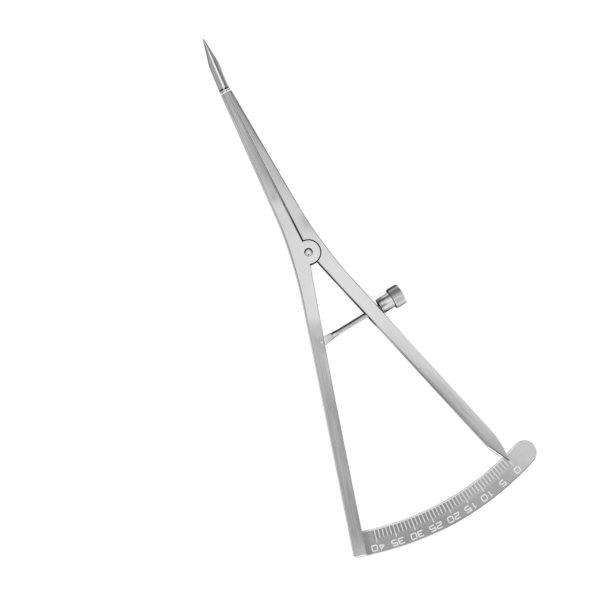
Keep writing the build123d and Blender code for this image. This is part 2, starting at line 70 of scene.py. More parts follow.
# Details that only the scene has, in millimetres. The thread's crest and flank are shares of its
# half pitch, and the digits' pitch is the distance between two digits of a numeral
THREAD_PITCH = 0.4
THREAD_DEPTH = 0.24
THREAD_CREST = 0.12
THREAD_FLANK = 0.62
THREAD_START = EYE_TAPER_END + 0.5
RUN_OUT_START = 0.5
RUN_OUT_LENGTH = 1.0
THREAD_CHAMFER = 0.25
EYE_CUT = EYE_TAPER_END + 0.6
SEGMENTS_AROUND_THREAD = 20
RINGS_PER_PITCH = 8
MARK_WIDTH = 0.40
MARK_HEIGHT = 0.012
MARK_DEPTH = 0.05
STROKE_STEP = 0.004
MARK_START = 0.25
MARK_END = 3.3
LONG_MARK_END = 4.5
LAST_MARK = 40
MARKS_PER_NUMERAL = 5
NUMERAL_RADIUS = 96.75
DIGIT_WIDTH = 1.72
DIGIT_HEIGHT = 1.75
DIGIT_PITCH = 2.35

# The photograph's camera, in millimetres, pixels and radians
CAMERA_TARGET = Vector((-9.006, -12.378, 0.0))
CAMERA_DIRECTION = Vector((-0.1249, -0.0038, 1.0)).normalized()
CAMERA_DISTANCE = 1200.0
CAMERA_ROLL = 0.4746
PIXELS_PER_MM = 3.1253
PHOTO_WIDTH = 600

# The light table: its height in millimetres, which the nut's lowest point just passes, its reach in
# metres and its strengths. Then the strengths of the light from around it
FLOOR_HEIGHT = -1.57
FLOOR_REACH = 1.6
FLOOR_TONE = 0.64
FLOOR_GLOW = 0.68
SKY_SIDE = 0.56
SKY_FAR = -0.30
SKY_NEAR = 0.26
SKY_OVERHEAD = 0.82

# Levels of grey that several finishes share
STEEL_TINT = (1.0, 1.0, 1.006)
BRIGHTEST = 0.98
DARKEST = 0.02


# Node helpers

class Nodes:
    """Short calls to add shader nodes to one tree."""

    def __init__(self, tree):
        self.tree = tree
        tree.nodes.clear()

    def add(self, kind, **inputs):
        node = self.tree.nodes.new(kind)
        for key, value in inputs.items():
            self.put(node.inputs[key.replace("_", " ")], value)
        return node

    def put(self, socket, value):
        """Link a socket to another one, or set its own value."""
        if isinstance(value, bpy.types.NodeSocket):
            self.tree.links.new(value, socket)
        else:
            socket.default_value = value

    def coordinates(self, kind):
        return self.add("ShaderNodeTexCoord").outputs[kind]

    def split(self, vector):
        return tuple(self.add("ShaderNodeSeparateXYZ", Vector=vector).outputs)

    def math(self, operation, a, b=0.0):
        node = self.tree.nodes.new("ShaderNodeMath")
        node.operation = operation
        self.put(node.inputs[0], a)
        self.put(node.inputs[1], b)
        return node.outputs[0]

    def vector_math(self, operation, a, b=None, scale=None):
        node = self.tree.nodes.new("ShaderNodeVectorMath")
        node.operation = operation
        self.put(node.inputs[0], a)
        if b is not None:
            self.put(node.inputs[1], b)
        if scale is not None:
            self.put(node.inputs["Scale"], scale)
        return node.outputs["Value"] if operation in ("DOT_PRODUCT", "LENGTH") else node.outputs[0]

    def in_mm(self, vector):
        return self.vector_math("SCALE", vector, scale=1 / MM)

    def length(self, vector):
        return self.vector_math("LENGTH", vector)

    def dot(self, a, b):
        return self.vector_math("DOT_PRODUCT", a, b)

    def total(self, value, *others):
        for other in others:
            value = self.math("ADD", value, other)
        return value

    def times(self, value, *factors):
        for factor in factors:
            value = self.math("MULTIPLY", value, factor)
        return value

    def less(self, value, amount):
        return self.math("SUBTRACT", value, amount)

    def around_zero(self, value, amount):
        """The value less its middle, times an amount."""
        return self.times(self.less(value, 0.5), amount)

    def remap(self, value, low, high, to_low=0.0, to_high=1.0, smooth=True):
        """A step from one level to another between two limits."""
        node = self.tree.nodes.new("ShaderNodeMapRange")
        node.interpolation_type = "SMOOTHSTEP" if smooth else "LINEAR"
        for key, item in (("Value", value), ("From Min", low), ("From Max", high),
                          ("To Min", to_low), ("To Max", to_high)):
            self.put(node.inputs[key], item)
        return node.outputs["Result"]

    def fade(self, value, low, high):
        """1 below the low limit and 0 above the high one."""
        return self.remap(value, low, high, 1.0, 0.0)

    def band(self, value, rise, fall):
        """1 between a rise and a fall, each the two limits of a soft step."""
        return self.times(self.remap(value, *rise), self.fade(value, *fall))

    def between(self, value, limits, soft=0.05):
        """1 between two limits, with steps that reach a little to both sides of them."""
        return self.band(value, *((limit - soft, limit + soft) for limit in limits))

    def ramp(self, value, stops):
        """A level that follows straight lines through its stops, each a place and a level."""
        low, high = stops[0][0], stops[-1][0]
        lowest = min(0.0, min(level for _, level in stops))
        node = self.tree.nodes.new("ShaderNodeValToRGB")
        elements = node.color_ramp.elements
        for place, _ in stops[1:-1]:
            elements.new((place - low) / (high - low))
        for element, (_, level) in zip(elements, stops):
            element.color = (level - lowest, level - lowest, level - lowest, 1)
        self.put(node.inputs[0], self.remap(value, low, high, smooth=False))
        return self.total(node.outputs["Color"], lowest)

    def blend(self, value, level, mask):
        """The value where the mask is 0, and the level where it is 1."""
        return self.total(value, self.times(mask, self.less(level, value)))

    def noise(self, vector, scale, detail=3.0, roughness=0.5, distortion=0.0):
        node = self.add("ShaderNodeTexNoise", Vector=vector, Scale=scale, Detail=detail,
                        Roughness=roughness, Distortion=distortion)
        return node.outputs["Fac"]

    def grain(self, vector, scales, *options):
        """Noise with its own scale along each axis."""
        return self.noise(self.vector_math("MULTIPLY", vector, scales), 1.0, *options)

    def grey(self, value, tint=None):
        """A grey colour from one value, times a fixed tint if one is given."""
        node = self.tree.nodes.new("ShaderNodeCombineColor")
        for i in range(3):
            self.put(node.inputs[i], self.times(value, tint[i]) if tint else value)
        return node.outputs[0]

    def bump(self, height, distance, strength, normal=None):
        node = self.add("ShaderNodeBump", Height=height, Distance=distance, Strength=strength)
        if normal is not None:
            self.put(node.inputs["Normal"], normal)
        return node.outputs[0]


def new_material(name):
    material = bpy.data.materials.new(name)
    material.use_nodes = True
    return material, Nodes(material.node_tree)


# Finishes. Places are in millimetres and degrees, noise scales per metre and bump heights in metres

def finish_steel(n, value, roughness, normal):
    """Metal, whose dark places stay dark at grazing angles too."""
    edge_tint = n.grey(n.remap(value, 0.05, 0.30, 0.12, 1.0))
    shader = n.add("ShaderNodeBsdfPrincipled", Roughness=roughness, Normal=normal, Metallic=1.0,
                   Specular_Tint=edge_tint, Base_Color=n.grey(value, STEEL_TINT))
    n.add("ShaderNodeOutputMaterial", Surface=shader.outputs[0])


def cloudy_roughness(n, cloud, lowest):
    return n.total(n.times(cloud, 0.12), lowest)


def from_pivot(n, place):
    """Offset from the pivot's axis."""
    return n.vector_math("MULTIPLY", place, (1 / MM, 1 / MM, 0.0))


def arm_coordinates(n, side, seed, look):
    """Where a point lies on an arm, and which way the surface faces there.

    "run" goes along the arm: up from the pivot, and down the slanted handle where it is negative.
    "outward" goes across it, away from the seam, and "across" is the share of the arm's width from
    its inner to its outer edge.
    """
    place = n.coordinates("Object")
    _, y, z = n.split(n.in_mm(place))
    rotate = n.tree.nodes.new("ShaderNodeVectorRotate")
    rotate.rotation_type = "Z_AXIS"
    n.put(rotate.inputs["Vector"], place)
    handle_turn = math.radians(-side * look["handle_angle"])
    n.put(rotate.inputs["Angle"], n.remap(y, -14, 2, handle_turn, 0.0))
    straight = rotate.outputs[0]
    straight_x, run, _ = n.split(n.in_mm(straight))
    outward = n.times(straight_x, side)
    from_outer = n.less(n.ramp(run, look["outer_edge"]), outward)
    from_inner = n.less(outward, n.ramp(run, look["inner_edge"]))
    normal_x, _, normal_z = n.split(n.coordinates("Normal"))
    outer_side = n.math("GREATER_THAN", n.times(normal_x, side), 0.0)
    return {
        "place": place,
        "y": y,
        "z": z,
        "radius": n.length(from_pivot(n, place)),
        "along": n.vector_math("ADD", straight, (seed, 0.37 * seed, 0.0)),
        "run": run,
        "outward": outward,
        "from_outer": from_outer,
        "from_inner": from_inner,
        "across": n.math("DIVIDE", from_inner, n.total(from_inner, from_outer)),
        "facing": n.math("ABSOLUTE", normal_z),
        "outer_side": outer_side,
        "inner_side": n.less(1.0, outer_side),
    }


def smudge(n, place, x, y, radius, depth):
    """A soft darker patch on an arm, centred at x and y."""
    offset = n.vector_math("SUBTRACT", place, (x * MM, y * MM, 0))
    away = n.length(n.vector_math("MULTIPLY", offset, (1.0, 0.55, 0.0)))
    return n.remap(away, 0.0, radius * MM, -depth, 0.0)


def arm_edges(n, value, at, look, on_tip):
    """Painted reflection and shade on the rounded edges and walls, each side with its own level
    along the arm.
    """
    facing, run = at["facing"], at["run"]
    not_tip = n.less(1.0, n.times(on_tip, n.remap(facing, 0.5, 0.6)))
    on_outer = n.times(not_tip, at["outer_side"])
    on_inner = n.times(not_tip, at["inner_side"])
    beside_outer = n.fade(at["from_outer"], 0.25, 0.34)
    beside_inner = n.fade(n.less(at["from_inner"], n.ramp(run, INNER_BAND)), 0.0, 0.15)
    outer_round = n.times(n.fade(facing, 0.80, 0.97), on_outer)
    inner_round = n.times(n.fade(facing, 0.45, 0.80), on_inner)
    for key, mask in (
        ("outer_rim", n.math("MAXIMUM", outer_round, beside_outer)),
        ("outer_wall", n.times(n.fade(facing, 0.30, 0.60), on_outer)),
        ("inner_rim", n.math("MAXIMUM", inner_round, beside_inner)),
        ("inner_wall", n.times(n.fade(facing, 0.40, 0.75), on_inner)),
    ):
        value = n.blend(value, n.ramp(run, look[key]), mask)
    return value


def handle_bevel(n, value, at):
    """Painted highlight on the bevel across the end of the scale arm."""
    from_end = n.total(at["run"], SCALE_OUTER_RADIUS)
    level = n.ramp(from_end, [(0, 0.50), (0.15, 0.50), (0.3, BRIGHTEST),
                              (SCALE_OUTER_RADIUS, BRIGHTEST)])
    bevel = n.times(n.fade(from_end, 0.5, 0.62), n.remap(at["facing"], 0.3, 0.5))
    return n.blend(value, level, bevel)


def reading_edge(n, value, at):
    """A painted shade line on top of the pointer, and a painted highlight on the ground face below
    it, with painted shade at its foot.
    """
    line = n.remap(at["run"], -POINTER_BEVEL_START, -POINTER_RADIUS,
                   POINTER_INNER, POINTER_END_INNER, smooth=False)
    off_line = n.less(at["outward"], line)
    on_pointer = n.fade(at["run"], -POINTER_BEVEL_START, 0.4 - POINTER_BEVEL_START)
    # Painted shade along the reading edge
    top_shade_line = n.times(on_pointer, n.fade(off_line, 0.28, 0.40), n.remap(at["facing"], 0.9, 0.97))
    value = n.blend(value, 0.13, top_shade_line)
    # Painted highlight on the bevel face, painted shade at its foot
    face = n.times(on_pointer, n.fade(at["facing"], 0.25, 0.75), at["inner_side"])
    return n.blend(value, n.remap(at["z"], 0.7, 1.1, 0.15, BRIGHTEST), face)


def arm_steel(name, side, seed, look):
    """Satin steel brushed lengthwise, even near the pivot and more streaked towards the ends, with
    painted reflection and shade in its levels along and across the arm.
    """
    material, n = new_material(name)
    at = arm_coordinates(n, side, seed, look)
    along, run, y, radius = at["along"], at["run"], at["y"], at["radius"]
    fine = n.grain(along, (9000, 260, 9000), 4.0, 0.6)
    streak = n.grain(along, (1700, 55, 1700), 5.0, 0.62)
    smear = n.grain(along, (420, 38, 420), 2.0, 0.5, 0.4)
    scratch = n.grain(along, (5200, 120, 5200), 2.0, 0.4)
    away = n.remap(n.math("ABSOLUTE", run), 14, 45)
    # Painted reflection and shade: the flat's level along the arm and across it. The grain, streaks
    # and scratches are the steel's own
    value = n.total(
        n.ramp(run, look["flat"]),
        n.around_zero(streak, n.total(n.times(away, 0.34), 0.03)),
        n.around_zero(smear, n.total(n.times(away, 0.30), 0.03)),
        n.around_zero(fine, n.total(n.times(away, 0.12), 0.03)),
        n.remap(scratch, 0.66, 0.72, 0.0, -0.05),
        n.around_zero(at["across"], n.ramp(run, look["outward_gain"])),
        *(smudge(n, at["place"], *patch) for patch in look["patches"]),
    )

    # The tip's ground outer bevel, at a painted reflection level of its own on each arm
    on_tip = n.remap(y, TIP_FOOT + 0.14, TIP_FOOT + 0.22)
    bevel = n.times(on_tip, n.band(at["facing"], (0.5, 0.6), (0.70, 0.80)), at["outer_side"])
    value = n.blend(value, look["tip_bevel"], bevel)

    value = arm_edges(n, value, at, look, on_tip)

    # Painted highlight in the hollow that the cutter left at the tip's foot, and painted shade at
    # the root beside it
    hollow_highlight = n.band(y, (TIP_FOOT - 0.95, TIP_FOOT - 0.85), (TIP_FOOT + 0.12, TIP_FOOT + 0.20))
    value = n.blend(value, BRIGHTEST, n.times(hollow_highlight, n.remap(at["z"], 1.3, 1.5)))
    root_shade = n.times(on_tip, n.fade(y, TIP_FOOT + 0.62, TIP_FOOT + 0.80))
    value = n.blend(value, 0.06, n.times(root_shade, n.between(at["across"], look["tip_root"])))

    value = look["handle_end"](n, value, at)

    # Painted shade in the recess around the lugs, and faint turning rings on the front lug
    in_recess = n.fade(radius, look["recess_radius"] + 0.01, look["recess_radius"] + 0.08)
    recess_shade = n.times(in_recess, n.between(at["z"], look["recess_levels"]))
    value = n.blend(value, 0.035, recess_shade)
    on_lug = n.band(radius, (1.4, 1.6), (3.4, 3.6))
    rings = n.noise(n.add("ShaderNodeCombineXYZ", X=n.times(radius, 5.2)).outputs[0], 1.0, 1.0, 0.5)
    value = n.total(value, n.times(n.around_zero(rings, 0.16), on_lug))

    rough = n.blend(n.total(n.times(smear, 0.10), n.times(streak, 0.08), 0.19), 0.6, recess_shade)
    normal = n.bump(fine, 3e-6, 0.5)
    normal = n.bump(streak, 12e-6, 0.35, normal)
    normal = n.bump(n.times(rings, on_lug), 6e-6, 0.4, normal)
    finish_steel(n, n.math("MAXIMUM", n.math("MINIMUM", value, BRIGHTEST), DARKEST), rough, normal)
    return material


def scale_steel():
    """Matt satin plate, brushed along its arc, a little mottled, with a painted highlight on its
    ground inner edge.

    Around the marks and the numerals it is darker, as in the photograph.
    """
    material, n = new_material("scale_steel")
    place = n.coordinates("Object")
    x, y, z = n.split(place)
    turn = n.math("ARCTAN2", x, n.times(y, -1.0))
    reach = n.length(place)
    arc = n.times(turn, SCALE_INNER_RADIUS * MM)
    along = n.add("ShaderNodeCombineXYZ", X=arc, Y=reach, Z=z).outputs[0]
    angle = n.times(turn, math.degrees(1))
    radius = n.times(reach, 1 / MM)
    from_inner = n.less(radius, SCALE_INNER_RADIUS)
    from_numerals = n.less(radius, NUMERAL_RADIUS)
    from_outer = n.less(SCALE_OUTER_RADIUS, radius)
    fine = n.grain(along, (700, 9000, 5000), 4.0, 0.6)
    cloud = n.noise(place, 260.0, 4.0, 0.6)
    speck = n.noise(place, 2600.0, 3.0, 0.7)
    value = n.total(
        n.around_zero(fine, 0.12),
        n.around_zero(cloud, 0.10),
        n.around_zero(speck, 0.08),
        n.remap(angle, -2, 9, 0.45, 0.56),
        n.remap(angle, 15, 20, 0.0, 0.11),
    )
    between_marks = n.times(n.band(from_inner, (0.3, 0.8), (2.9, 3.8)),
                            n.band(angle, (-14.6, -13.8), (16.2, 17.5)))
    value = n.less(value, n.times(between_marks, n.remap(angle, 0, 12, 0.14, 0.08)))
    beside_numerals = n.times(n.remap(from_numerals, -2.6, -1.6), n.fade(angle, 12, 19.5),
                              n.remap(angle, -14, -5, 0.4, 1.0))
    value = n.less(value, n.times(beside_numerals, n.remap(angle, 0, 8, 0.07, 0.10)))
    # Painted highlight on the inner edge, and painted light and shade along the outer rim
    value = n.blend(value, 0.95, n.fade(from_inner, 0.42, 0.58))
    value = n.blend(value, n.remap(angle, -6, 2, 0.75, 0.28), n.fade(from_outer, 0.2, 0.35))
    # Painted shadow of the arm on the plate beside it
    arm_shadow = n.fade(angle, -15.8, -14.4)
    value = n.blend(value, 0.26, n.times(arm_shadow, 0.6))
    normal = n.bump(speck, 5e-6, 0.4, n.bump(fine, 4e-6, 0.5))
    finish_steel(n, value, cloudy_roughness(n, cloud, 0.34), normal)
    return material


def pin_steel():
    """Bright turned steel, a little clouded."""
    material, n = new_material("pin_steel")
    place = n.coordinates("Object")
    rings = n.noise(place, 1500.0, 3.0, 0.6)
    cloud = n.noise(place, 900.0, 3.0, 0.55)
    value = n.total(n.around_zero(rings, 0.10), n.around_zero(cloud, 0.10), 0.78)
    finish_steel(n, value, cloudy_roughness(n, cloud, 0.25), n.bump(rings, 2e-6, 0.5))
    return material


def rivet_steel():
    """Low dome with painted shade on its far side, a painted highlight on its near side and a
    painted shadow spot there.
    """
    material, n = new_material("rivet_steel")
    place = n.coordinates("Object")
    from_axis = from_pivot(n, place)
    far = n.dot(from_axis, (0.457, 0.889, 0.0))
    cloud = n.noise(place, 1500.0, 3.0, 0.55)
    value = n.total(0.80, n.around_zero(cloud, 0.14))
    # Painted shade over the far side of the dome
    arc = n.times(n.remap(n.length(from_axis), 0.72, 1.05), n.remap(far, -0.45, 0.05))
    value = n.blend(value, 0.13, n.times(arc, 0.95))
    # Painted highlight on the near side
    value = n.blend(value, BRIGHTEST, n.fade(far, -0.84, -0.72))
    # Painted shadow spot at the near edge
    shadow_spot_distance = n.length(n.vector_math("SUBTRACT", from_axis, (-0.40, -0.78, 0.0)))
    value = n.blend(value, 0.12, n.fade(shadow_spot_distance, 0.16, 0.36))
    finish_steel(n, value, cloudy_roughness(n, cloud, 0.18), n.bump(cloud, 3e-6, 0.4))
    return material


def screw_coordinates(n):
    """Where a point lies on the screw or the nut, and which way the surface faces there.

    "reach" goes along the screw from its hinge pin, and "around" is 1 on the side of the tips and
    -1 opposite.
    """
    angle = math.radians(SCREW_REST_ANGLE)
    axis = (math.cos(angle), math.sin(angle), 0.0)
    side = (-math.sin(angle), math.cos(angle), 0.0)
    place = n.coordinates("Object")
    normal = n.coordinates("Normal")
    from_pin = n.in_mm(n.vector_math("SUBTRACT", place, tuple(PIN_POINT * MM)))
    reach = n.dot(from_pin, axis)
    off_axis = n.vector_math("SUBTRACT", from_pin, n.vector_math("SCALE", axis, scale=reach))
    radius = n.length(off_axis)
    return {
        "place": place,
        "reach": reach,
        "radius": radius,
        "around": n.math("DIVIDE", n.dot(off_axis, side), radius),
        "endward": n.dot(normal, axis),
        "sideward": n.dot(normal, side),
    }


def nut_steel(name):
    """Polished nut and washer: painted reflections in lengthwise bands, pitted neck, painted shade
    in the knurl grooves and on the shoulder.
    """
    material, n = new_material(name)
    at = screw_coordinates(n)
    rings = n.grain(at["place"], (6000, 300, 300), 3.0, 0.6)
    cloud = n.noise(at["place"], 900.0, 3.0, 0.55)
    pit = n.noise(at["place"], 1400.0, 2.0, 0.5)
    from_head = n.less(at["reach"], HEAD_START)
    on_head = n.remap(from_head, -0.05, 0.05)
    near_head = n.remap(at["reach"], NUT_START + 0.6, NUT_START + 2.8)
    # Painted reflections: bands of light and shade around the neck and the head
    neck = n.blend(n.ramp(at["sideward"], NECK_REFLECTIONS), n.ramp(at["sideward"], NECK_HEAD_REFLECTIONS),
                   near_head)
    value = n.blend(neck, n.ramp(at["around"], HEAD_REFLECTIONS), on_head)
    value = n.total(value, n.around_zero(rings, 0.12), n.around_zero(cloud, 0.20))
    knurl_end = (HEAD_LENGTH - 0.55, HEAD_LENGTH - 0.4)
    on_knurl = n.times(on_head, n.band(from_head, (0.30, 0.45), knurl_end))
    # Painted shade in the knurl grooves
    groove_shade = n.fade(at["radius"], HEAD_RADIUS - 0.22, HEAD_RADIUS - 0.13)
    value = n.blend(value, 0.01, n.times(groove_shade, on_knurl))
    # Painted shade on faces turned back towards the arm, and a painted level on the outer end faces
    value = n.blend(value, 0.04, n.fade(at["endward"], -0.9, -0.5))
    value = n.blend(value, 0.62, n.remap(at["endward"], 0.5, 0.9))
    value = n.less(value, n.times(n.remap(pit, 0.55, 0.75), n.less(1.0, on_head), 0.25))
    rough = cloudy_roughness(n, cloud, 0.14)
    finish_steel(n, n.math("MAXIMUM", value, 0.01), rough, n.bump(rings, 2e-6, 0.5))
    return material


def screw_steel():
    """Bright rod with painted reflections in bands and painted shade on its upper flank, and a
    flattened end as light as the arms, painted lighter on the side of the tips.
    """
    material, n = new_material("screw_steel")
    at = screw_coordinates(n)
    rings = n.grain(at["place"], (500, 2500, 2500), 3.0, 0.6)
    cloud = n.noise(at["place"], 900.0, 3.0, 0.55)
    # Painted reflections and shade in bands around the rod
    value = n.total(n.ramp(at["sideward"], ROD_REFLECTIONS), n.around_zero(rings, 0.10),
                    n.around_zero(cloud, 0.10))
    # The flattened end, painted lighter on the side of the tips
    on_eye = n.fade(at["reach"], EYE_TAPER_END - 0.6, EYE_TAPER_END + 0.1)
    value = n.blend(value, n.total(0.72, n.times(at["sideward"], 0.25)), on_eye)
    rough = cloudy_roughness(n, cloud, 0.20)
    finish_steel(n, n.math("MAXIMUM", value, 0.03), rough, n.bump(rings, 2e-6, 0.5))
    return material


def mark_finish():
    """The bare bottom of an engraved line: bright, a little grainy, brightest in the numerals."""
    material, n = new_material("mark_finish")
    place = n.coordinates("Object")
    radius = n.length(from_pivot(n, place))
    grain = n.noise(place, 4200.0, 2.0, 0.5)
    wear = n.noise(place, 700.0, 2.0, 0.5)
    level = n.remap(radius, NUMERAL_RADIUS - 1.4, NUMERAL_RADIUS - 1.0, 0.76, 0.88)
    value = n.total(level, n.around_zero(grain, 0.14), n.around_zero(wear, 0.22))
    finish_steel(n, n.math("MINIMUM", value, 0.99), 0.30, n.bump(grain, 6e-6, 0.5))
    return material


# Looks of the arms, in millimetres. A stop says how far up the arm, or down its handle if negative,
# and then:
# "flat", "outer_rim", "outer_wall", "inner_rim", "inner_wall": the level of grey there, painted
# reflection and shade
# "outward_gain": how much lighter the flat is at its outer edge than at its inner edge, as painted
# reflection
# "outer_edge", "inner_edge": how far that edge lies from the line along the arm through the pivot
# The entries without stops:
# "patches": soft dark patches, each with x, y, radius and depth
# "tip_root": where across the tip the painted shade at its root lies, as shares of the width
# "tip_bevel": the painted reflection level of the tip's ground bevel
# "recess_radius", "recess_levels": how far out the painted shade in the recess around the lug
# reaches, and between which heights
# "handle_end": the function that paints highlight and shade on the end of the handle
SCALE_ARM_LOOK = {
    "handle_angle": SCALE_HANDLE_ANGLE,
    "flat": [(-99, 0.57), (-96, 0.52), (-92, 0.38), (-88, 0.374), (-80, 0.39), (-70, 0.42),
             (-60, 0.42), (-50, 0.386), (-40, 0.43), (-30, 0.455), (-28.5, 0.43), (-27, 0.455),
             (-24, 0.49), (-22.5, 0.55), (-21, 0.62), (-18, 0.63), (0, 0.635), (6, 0.61),
             (12, 0.59), (16, 0.64), (18, 0.62), (21, 0.53), (25, 0.507), (30, 0.45), (38, 0.46),
             (45, 0.52), (57, 0.49), (59, 0.44), (67, 0.46), (71, 0.36), (76, 0.42)],
    "outward_gain": [(-99, 0.0), (16, 0.0), (22, 0.10), (40, 0.10), (48, -0.06), (58, -0.06),
                     (59, 0.0), (76, 0.0)],
    "outer_edge": [(-99, 4.75), (-45, 4.75), (-15.1, 4.85), (-15, 9), (13.9, 9), (14, 4.05),
                   (58.3, 1.75), (67.02, 1.68), (75.4, 0.17)],
    "inner_edge": [(-99, 0.8), (-45, 0.8), (-15.1, 0.4), (-15, -9), (4, -9), (4.1, 0.15),
                   (58.3, 0.15), (75.4, 0.03)],
    "outer_rim": [(-99, 0.50), (-27, 0.56), (-22, 0.55), (-14, 0.45), (-4, 0.36), (8, 0.36),
                  (14, 0.42), (19, 0.60), (45, 0.72), (58, 0.50), (59, 0.36), (67, 0.30),
                  (75, 0.22)],
    "outer_wall": [(-99, 0.36), (-27, 0.38), (-22, 0.34), (-14, 0.30), (-4, 0.26), (8, 0.26),
                   (19, 0.32), (45, 0.27), (58, 0.24), (76, 0.24)],
    "inner_rim": [(-99, 0.95), (-33, 0.95), (-22, 0.70), (-5, 0.45), (-4, 0.0), (10, 0.0),
                  (20, 0.12), (30, 0.26), (40, 0.36), (47, 0.50), (57, 0.64), (58.5, 0.98),
                  (76, 0.98)],
    "inner_wall": [(-99, 0.95), (-33, 0.95), (-22, 0.70), (-5, 0.45), (-4, 0.0), (10, 0.0),
                   (20, 0.2), (40, 0.4), (47, 0.48), (57, 0.62), (58.5, 0.98), (76, 0.98)],
    "patches": [(-1.9, 20.5, 1.5, 0.10), (-9.6, -29.0, 2.4, 0.08)],
    "tip_root": (0.15, 1.2),
    "tip_bevel": 0.50,
    "recess_radius": BACK_LUG_RADIUS + LUG_GAP,
    "recess_levels": (0.2, 1.9),
    "handle_end": handle_bevel,
}
POINTER_ARM_LOOK = {
    "handle_angle": POINTER_HANDLE_ANGLE,
    "flat": [(-93, 0.44), (-86, 0.45), (-80, 0.50), (-70, 0.49), (-60, 0.50), (-50, 0.55),
             (-40, 0.575), (-32, 0.62), (-14, 0.63), (0, 0.62), (6, 0.57), (9, 0.54), (12, 0.57),
             (16, 0.60), (20, 0.584), (25, 0.52), (30, 0.537), (35, 0.54), (40, 0.489), (45, 0.455),
             (50, 0.463), (55, 0.41), (58, 0.41), (59, 0.26), (67, 0.27), (76, 0.34)],
    "outward_gain": [(-93, 0.16), (-70, 0.24), (-55, 0.22), (-40, 0.08), (-30, 0.0), (12, -0.03),
                     (25, -0.12), (35, -0.20), (50, -0.20), (58, -0.10), (59, 0.0), (76, 0.0)],
    "outer_edge": [(-93, 4.6), (-80, 4.6), (-45, 4.6), (-15.1, 4.75), (-15, 9), (13.9, 9),
                   (14, 4.05), (58.3, 1.75), (67.02, 1.68), (75.4, 0.17)],
    "inner_edge": [(-93, 0.3), (-45, 0.3), (-15.1, 0.1), (-15, -9), (4, -9), (4.1, 0.15),
                   (58.3, 0.15), (75.4, 0.03)],
    "outer_rim": [(-93, 0.95), (-42, 0.95), (-36, 0.75), (-25, 0.62), (-22, 0.30), (0, 0.25),
                  (40, 0.24), (58, 0.26), (59, 0.70), (63, 0.70), (67, 0.35), (75, 0.20)],
    "outer_wall": [(-93, 0.5), (40, 0.5), (50, 0.26), (58, 0.24), (59, 0.5), (76, 0.5)],
    "inner_rim": [(-93, 0.26), (-75, 0.24), (-60, 0.18), (-45, 0.20), (-38, 0.32), (-32, 0.24),
                  (-29, 0.05), (-22, 0.04), (-18, 0.14), (-13, 0.12), (-9, 0.02), (3, 0.02),
                  (6, 0.50), (14, 0.72), (20, 0.80), (32, 0.72), (38, 0.62), (47, 0.58), (57, 0.62),
                  (58.5, 0.98), (76, 0.98)],
    "inner_wall": [(-93, 0.26), (-75, 0.24), (-60, 0.18), (-45, 0.20), (-38, 0.32), (-32, 0.24),
                   (-29, 0.05), (-22, 0.04), (-18, 0.14), (-13, 0.12), (-9, 0.0), (9, 0.0),
                   (14, 0.28), (20, 0.58), (32, 0.68), (38, 0.64), (47, 0.58), (57, 0.62),
                   (58.5, 0.98), (76, 0.98)],
    "patches": [(4.3, 9.2, 3.2, 0.12)],
    "tip_root": (-0.2, 0.70),
    "tip_bevel": 0.34,
    "recess_radius": LUG_RADIUS + LUG_GAP,
    "recess_levels": (0.25, 3.5),
    "handle_end": reading_edge,
}

# Width of the band beside the seam that takes the inner rim's painted level of reflection and
# shade, at places along the arm
INNER_BAND = [(-99, 0.05), (40, 0.0), (57, 0.05), (58.8, 0.15), (69, 0.10), (72, 0.0),
              (75.4, -0.15)]

# Painted reflections and shade: levels around the neck at its start and beside the head, and around
# the rod. A stop says how far the surface faces to the side of the tips, and then the level there.
# The head's stops say how far to that side the point lies instead
NECK_REFLECTIONS = [(-1, 0.10), (-0.88, 0.12), (-0.76, 0.34), (-0.6, 0.75), (-0.48, 0.98), (-0.33, 0.90),
              (-0.22, 0.50), (-0.12, 0.30), (0, 0.34), (0.12, 0.56), (0.25, 0.86), (0.37, 0.76),
              (0.49, 0.46), (0.62, 0.26), (0.74, 0.24), (0.86, 0.20), (1, 0.30)]
NECK_HEAD_REFLECTIONS = [(-1, 0.15), (-0.88, 0.20), (-0.77, 0.52), (-0.6, 0.85), (-0.48, 0.98),
                   (-0.33, 0.92), (-0.2, 0.80), (0, 0.68), (0.2, 0.80), (0.37, 0.74), (0.5, 0.66),
                   (0.62, 0.64), (0.77, 0.66), (0.88, 0.40), (1, 0.30)]
HEAD_REFLECTIONS = [(-1, 0.24), (-0.92, 0.34), (-0.82, 0.56), (-0.7, 0.80), (-0.5, 0.98), (-0.3, 0.96),
              (-0.1, 0.86), (0.0, 0.68), (0.1, 0.62), (0.2, 0.66), (0.3, 0.46), (0.45, 0.42),
              (0.53, 0.28), (0.60, 0.46), (0.72, 0.40), (0.8, 0.28), (0.9, 0.10), (1, 0.08)]
ROD_REFLECTIONS = [(-1, 0.36), (-0.75, 0.36), (-0.5, 0.66), (-0.35, 0.90), (-0.1, 0.80), (0.1, 0.62),
             (0.25, 0.70), (0.38, 0.45), (0.48, 0.06), (0.85, 0.02), (1, 0.04)]

MATERIALS = {
    "scale_arm": arm_steel("scale_arm_steel", -1, 0.113, SCALE_ARM_LOOK),
    "pointer_arm": arm_steel("pointer_arm_steel", 1, 0.457, POINTER_ARM_LOOK),
    "scale_plate": scale_steel(),
    "pivot_rivet": rivet_steel(),
    "screw_hinge_pin": pin_steel(),
    "adjusting_screw": screw_steel(),
    "thrust_washer": nut_steel("washer_steel"),
    "thumb_nut": nut_steel("nut_steel"),
}


def dress(obj, material):
    obj.data.materials.clear()
    obj.data.materials.append(material)


for node_name, material in MATERIALS.items():
    dress(NODES[node_name], material)


# Pieces that the looks add

def add_object(name, bm, material):
    """A new object from a bmesh, which is freed."""
    mesh = bpy.data.meshes.new(name)
    bm.to_mesh(mesh)
    bm.free()
    obj = bpy.data.objects.new(name, mesh)
    SCENE.collection.objects.link(obj)
    dress(obj, material)
    return obj


